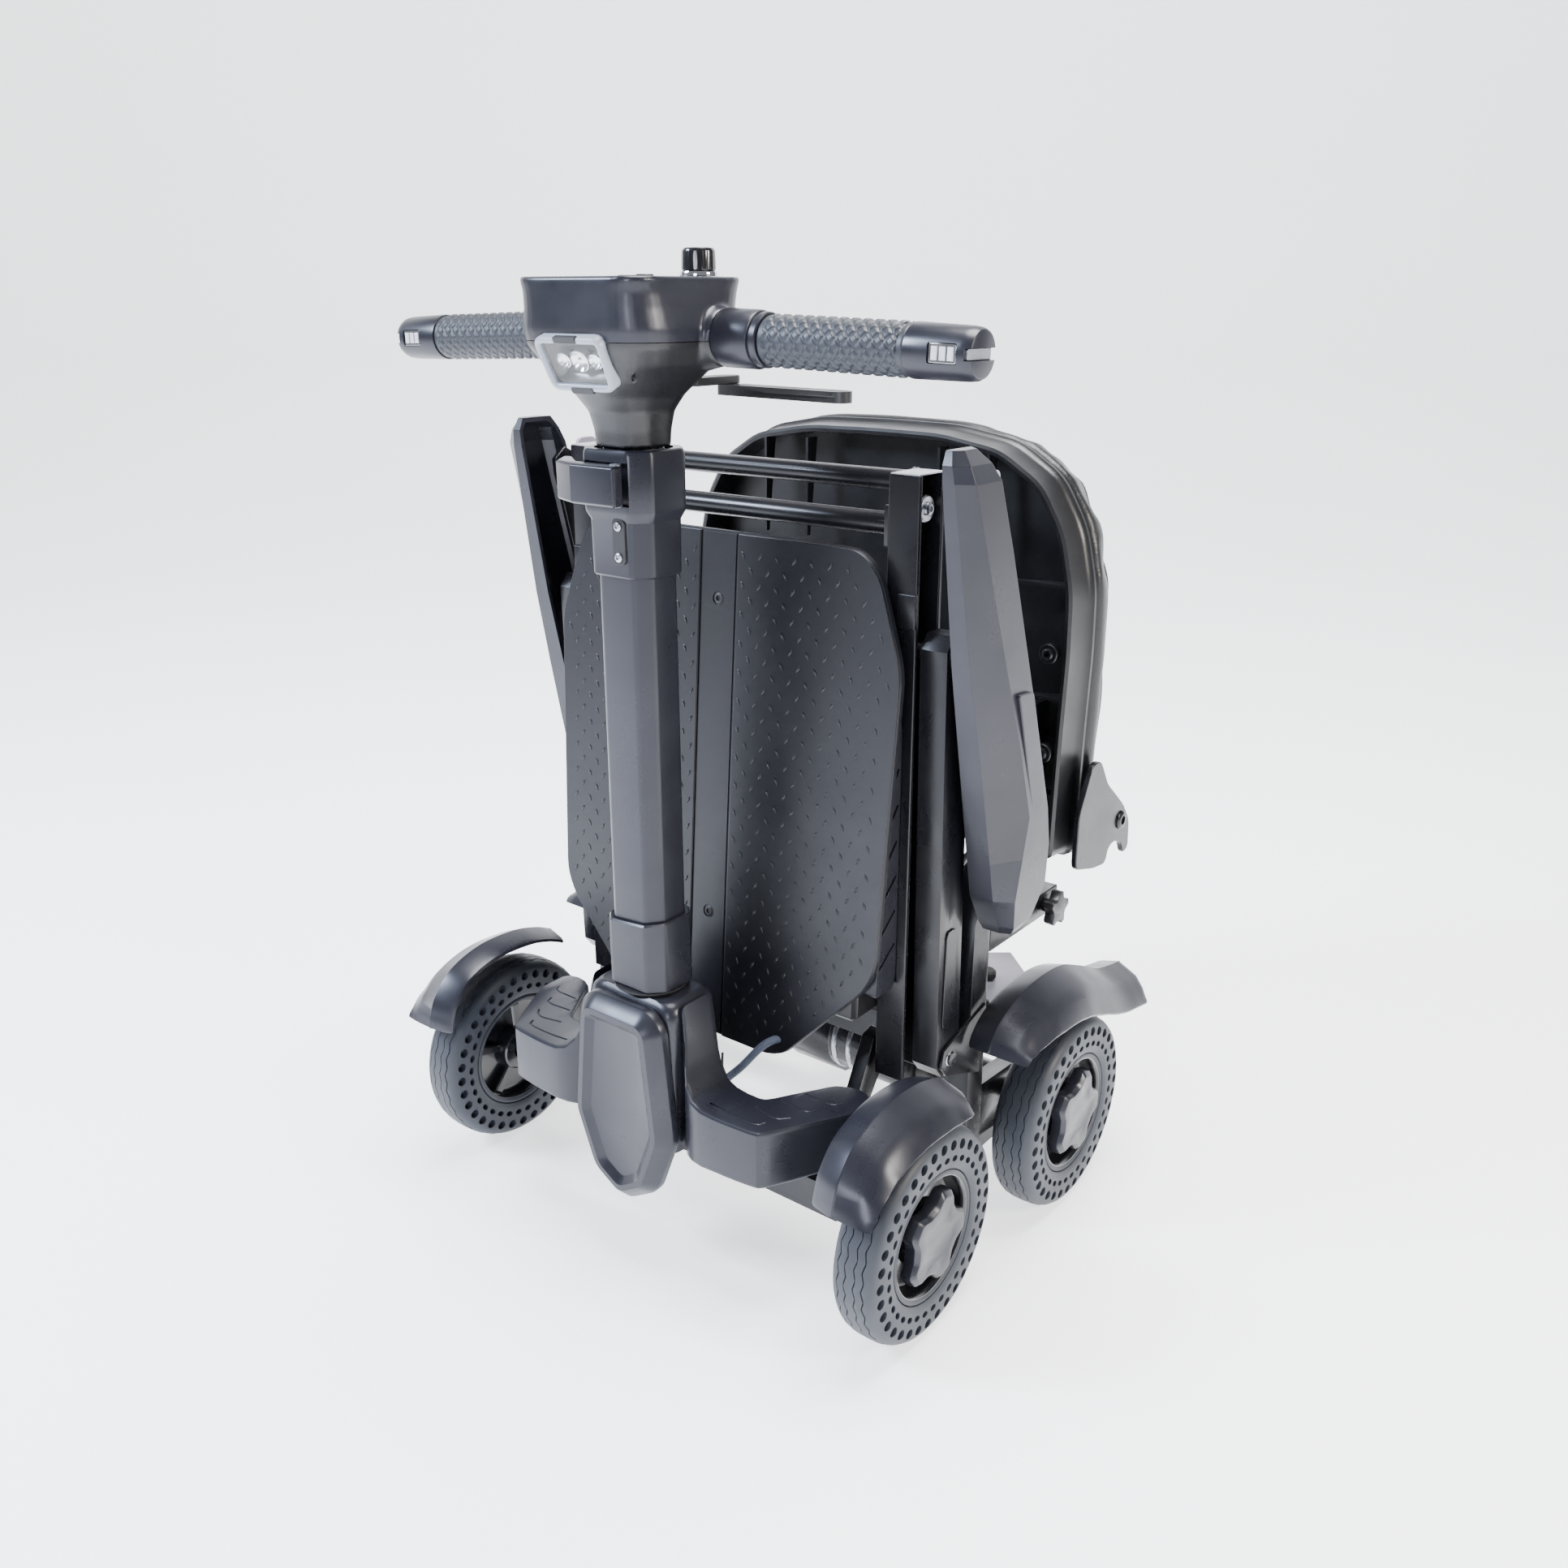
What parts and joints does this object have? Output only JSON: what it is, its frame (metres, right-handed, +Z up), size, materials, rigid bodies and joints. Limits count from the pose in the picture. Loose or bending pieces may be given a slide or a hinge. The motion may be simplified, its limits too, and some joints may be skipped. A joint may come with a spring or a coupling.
{
  "type": "folding mobility scooter",
  "caption": "Folding electric mobility scooter with solid tyres, steering tiller, folding seat and upright deck, shown folded and standing on its wheels.",
  "frame": {"origin": "on the ground below the middle of the folded scooter's box", "axes": "+Z up, -Y towards the front of the scooter, +X towards the right of the picture when the scooter is seen from the front"},
  "size_m": [0.54, 0.49, 0.8008],
  "materials": {
    "frame_black": "semi-gloss black powder coat",
    "black_plastic": "fine-grained black moulded plastic",
    "charcoal_plastic": "satin charcoal metallic paint on plastic",
    "tyre_rubber": "matt dark rubber",
    "rim_black": "gloss black",
    "grip_rubber": "dimpled soft rubber",
    "deck_grey": "dark grey tread plate",
    "vinyl_black": "black upholstery vinyl",
    "lamp_lens": "clear lens in a frosted bezel",
    "steel": "zinc plated steel",
    "plate_grey": "light grey coated plate",
    "cable_sleeve": "braided blue-grey sleeve"
  },
  "bodies": {
    "rear_chassis": {"rear_axle_housing": "frame_black", "drive_motor": "frame_black", "rear_frame": "frame_black", "controller_box": "black_plastic", "rear_plate": "plate_grey", "receiver_tube": "frame_black", "rear_fender_left": "charcoal_plastic", "rear_fender_right": "charcoal_plastic"},
    "star_knob": {"star_knob": "black_plastic"},
    "rear_wheel_left": {"rear_left_tyre": "tyre_rubber", "rear_left_rim": "rim_black"},
    "rear_wheel_right": {"rear_right_tyre": "tyre_rubber", "rear_right_rim": "rim_black"},
    "legs": {"rear_leg_left": "frame_black", "rear_leg_right": "frame_black"},
    "floor": {"side_rail_left": "frame_black", "side_rail_right": "frame_black", "main_pivot_pin_left": "steel", "main_pivot_pin_right": "steel", "deck_plate": "deck_grey", "battery_case": "black_plastic", "lower_cross_tube": "frame_black", "upper_cross_tube": "frame_black"},
    "front_chassis": {"front_axle_beam": "frame_black", "footrest_left": "charcoal_plastic", "footrest_right": "charcoal_plastic", "front_cable": "cable_sleeve"},
    "knuckle_left": {"steering_knuckle_left": "frame_black", "front_fender_left": "charcoal_plastic"},
    "knuckle_right": {"steering_knuckle_right": "frame_black", "front_fender_right": "charcoal_plastic"},
    "front_wheel_left": {"front_left_tyre": "tyre_rubber", "front_left_rim": "rim_black"},
    "front_wheel_right": {"front_right_tyre": "tyre_rubber", "front_right_rim": "rim_black"},
    "steering_head": {"head_housing": "charcoal_plastic", "head_cover": "charcoal_plastic"},
    "column": {"column_tube": "charcoal_plastic", "column_sleeve": "charcoal_plastic", "clamp_collar": "charcoal_plastic"},
    "cam_lever": {"cam_lever": "charcoal_plastic"},
    "mast": {"inner_mast": "steel", "console_lower": "black_plastic", "console_upper": "charcoal_plastic", "headlight": "lamp_lens", "handlebar": "black_plastic", "grip_left": "grip_rubber", "grip_right": "grip_rubber"},
    "throttle_lever": {"throttle_lever": "black_plastic"},
    "speed_knob": {"speed_knob": "rim_black"},
    "side_links": {"side_link_left": "frame_black", "side_link_right": "frame_black", "side_cover_left": "charcoal_plastic", "side_cover_right": "charcoal_plastic"},
    "seat": {"seat_pan": "black_plastic", "seat_cushion": "vinyl_black", "seat_arm_left": "frame_black", "seat_arm_right": "frame_black"},
    "backrest": {"backrest_shell": "charcoal_plastic", "backrest_cushion": "vinyl_black"}
  },
  "joints": [
    {"name": "main_fold", "type": "hinge", "parent": "rear_chassis", "child": "legs", "pos_m": [0, -0.049, 0.185], "axis": [1, 0, 0], "range_deg": [0, 90]},
    {"name": "floor_fold", "type": "hinge", "parent": "legs", "child": "floor", "pos_m": [0, -0.057, 0.52], "axis": [-1, 0, 0], "range_deg": [0, 180]},
    {"name": "front_fold", "type": "hinge", "parent": "floor", "child": "front_chassis", "pos_m": [0, -0.065, 0.185], "axis": [1, 0, 0], "range_deg": [0, 90]},
    {"name": "link_fold", "type": "hinge", "parent": "rear_chassis", "child": "side_links", "pos_m": [0, 0.021, 0.317], "axis": [1, 0, 0], "range_deg": [0, 101.6]},
    {"name": "seat_fold", "type": "hinge", "parent": "rear_chassis", "child": "seat", "pos_m": [0, 0.021, 0.317], "axis": [1, 0, 0], "range_deg": [0, 90]},
    {"name": "tiller_tilt", "type": "hinge", "parent": "front_chassis", "child": "steering_head", "pos_m": [0, -0.151, 0.1], "axis": [-1, 0, 0], "range_deg": [0, 15]},
    {"name": "steer", "type": "hinge", "parent": "steering_head", "child": "column", "pos_m": [0, -0.182, 0.2485], "axis": [0, 0, 1], "range_deg": [-18, 18]},
    {"name": "mast_slide", "type": "slide", "parent": "column", "child": "mast", "axis": [0, 0, 1], "range_m": [0, 0.12]},
    {"name": "cam_lever_swing", "type": "hinge", "parent": "column", "child": "cam_lever", "pos_m": [0.016, -0.2225, 0.645], "axis": [0, 0, 1], "range_deg": [0, 100]},
    {"name": "throttle_pull", "type": "hinge", "parent": "mast", "child": "throttle_lever", "pos_m": [0.03, -0.111, 0.706], "axis": [0, 0, -1], "range_deg": [0, 12], "stiffness_Nm_per_rad": 0.3},
    {"name": "speed_knob_turn", "type": "hinge", "parent": "mast", "child": "speed_knob", "pos_m": [0.034, -0.147, 0.7818], "axis": [0, 0, 1], "range_deg": [0, 270]},
    {"name": "star_knob_turn", "type": "hinge", "parent": "rear_chassis", "child": "star_knob", "pos_m": [0.2013, 0.103, 0.267], "axis": [1, 0, 0], "continuous": true},
    {"name": "backrest_fold", "type": "hinge", "parent": "seat", "child": "backrest", "pos_m": [0, 0.212, 0.318], "axis": [-1, 0, 0], "range_deg": [0, 100]},
    {"name": "rear_wheel_spin_left", "type": "hinge", "parent": "rear_chassis", "child": "rear_wheel_left", "pos_m": [-0.236, 0.084, 0.0875], "axis": [1, 0, 0], "continuous": true},
    {"name": "knuckle_turn_left", "type": "hinge", "parent": "front_chassis", "child": "knuckle_left", "pos_m": [-0.188, -0.141, 0.0875], "axis": [0, 0, 1], "range_deg": [-18, 18]},
    {"name": "front_wheel_spin_left", "type": "hinge", "parent": "knuckle_left", "child": "front_wheel_left", "pos_m": [-0.232, -0.141, 0.0875], "axis": [1, 0, 0], "continuous": true},
    {"name": "rear_wheel_spin_right", "type": "hinge", "parent": "rear_chassis", "child": "rear_wheel_right", "pos_m": [0.236, 0.084, 0.0875], "axis": [1, 0, 0], "continuous": true},
    {"name": "knuckle_turn_right", "type": "hinge", "parent": "front_chassis", "child": "knuckle_right", "pos_m": [0.188, -0.141, 0.0875], "axis": [0, 0, 1], "range_deg": [-18, 18]},
    {"name": "front_wheel_spin_right", "type": "hinge", "parent": "knuckle_right", "child": "front_wheel_right", "pos_m": [0.232, -0.141, 0.0875], "axis": [1, 0, 0], "continuous": true}
  ],
  "couplings": [
    {"joint": "floor_fold", "follows": "main_fold", "ratio": 2},
    {"joint": "front_fold", "follows": "main_fold", "ratio": 1},
    {"joint": "link_fold", "follows": "main_fold", "ratio": 1.1289},
    {"joint": "seat_fold", "follows": "main_fold", "ratio": 1},
    {"joint": "tiller_tilt", "follows": "main_fold", "ratio": 0.16667},
    {"joint": "knuckle_turn_left", "follows": "steer", "ratio": 1},
    {"joint": "knuckle_turn_right", "follows": "steer", "ratio": 1}
  ]
}
